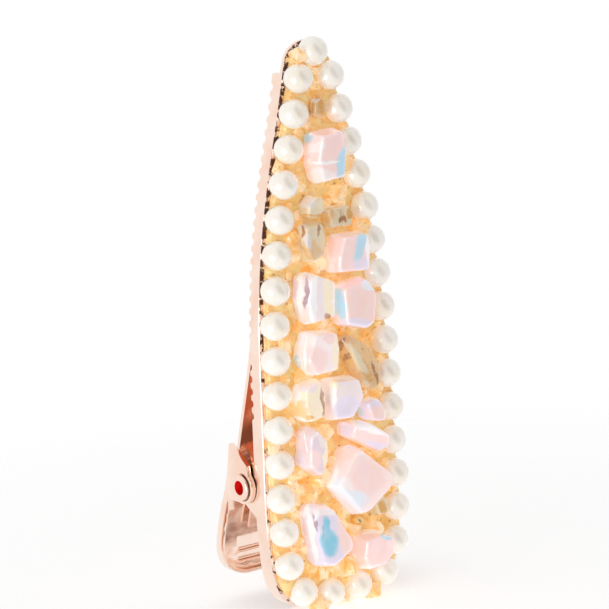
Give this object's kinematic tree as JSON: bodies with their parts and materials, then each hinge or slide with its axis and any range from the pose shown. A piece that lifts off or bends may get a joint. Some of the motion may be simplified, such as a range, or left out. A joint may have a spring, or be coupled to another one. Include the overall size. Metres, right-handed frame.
{
  "type": "alligator hair clip",
  "caption": "Sprung rose-gold alligator hair clip: a teardrop plate edged with imitation pearls and filled with tumbled iridescent nuggets set in golden resin.",
  "frame": {"origin": "centre of the hollow pivot rivet's bore, midway between the two ears", "axes": "+X across the clip along the rivet, +Z along the plate towards its pointed tip, -Y out of the decorated face"},
  "size_m": [0.0242, 0.0176, 0.0766],
  "materials": {
    "rose_gold": "polished rose-gold plating on pressed sheet",
    "spring": "rose-gold plated spring steel, satin",
    "pearl": "warm white pearlescent lacquer",
    "iridescent_stone": "polished, pink, lilac and blue iridescence",
    "champagne_stone": "polished clear champagne crystal",
    "gold_bead": "polished golden bead",
    "resin": "glossy golden-tinted clear glue"
  },
  "bodies": {
    "plate_side": {"chip_01": "champagne_stone", "chip_02": "champagne_stone", "chip_03": "champagne_stone", "chip_04": "champagne_stone", "chip_05": "champagne_stone", "drop_01": "champagne_stone", "golden_bead": "gold_bead", "leaf_spring": "spring", "nugget_01": "iridescent_stone", "nugget_02": "iridescent_stone", "nugget_03": "iridescent_stone", "nugget_04": "iridescent_stone", "nugget_05": "iridescent_stone", "nugget_06": "iridescent_stone", "nugget_07": "iridescent_stone", "nugget_08": "iridescent_stone", "nugget_09": "iridescent_stone", "nugget_10": "iridescent_stone", "nugget_11": "iridescent_stone", "nugget_12": "iridescent_stone", "nugget_13": "iridescent_stone", "pearl_01": "pearl", "pearl_02": "pearl", "pearl_03": "pearl", "pearl_04": "pearl", "pearl_05": "pearl", "pearl_06": "pearl", "pearl_07": "pearl", "pearl_08": "pearl", "pearl_09": "pearl", "pearl_10": "pearl", "pearl_11": "pearl", "pearl_12": "pearl", "pearl_13": "pearl", "pearl_14": "pearl", "pearl_15": "pearl", "pearl_16": "pearl", "pearl_17": "pearl", "pearl_18": "pearl", "pearl_19": "pearl", "pearl_20": "pearl", "pearl_21": "pearl", "pearl_22": "pearl", "pearl_23": "pearl", "pearl_24": "pearl", "pearl_25": "pearl", "pearl_26": "pearl", "pearl_27": "pearl", "pearl_28": "pearl", "pearl_29": "pearl", "pearl_30": "pearl", "pearl_31": "pearl", "pearl_32": "pearl", "pearl_33": "pearl", "pearl_34": "pearl", "pearl_35": "pearl", "pivot_rivet": "rose_gold", "resin_bed": "resin", "upper_jaw": "rose_gold"},
    "press_side": {"lower_jaw": "rose_gold"}
  },
  "joints": [
    {"name": "jaw_hinge", "type": "hinge", "parent": "plate_side", "child": "press_side", "pos_m": [0, 0, 0], "axis": [-1, 0, 0], "range_deg": [0, 25], "stiffness_Nm_per_rad": 0.12, "springref_deg": -20.05, "deforming": ["leaf_spring"]}
  ]
}
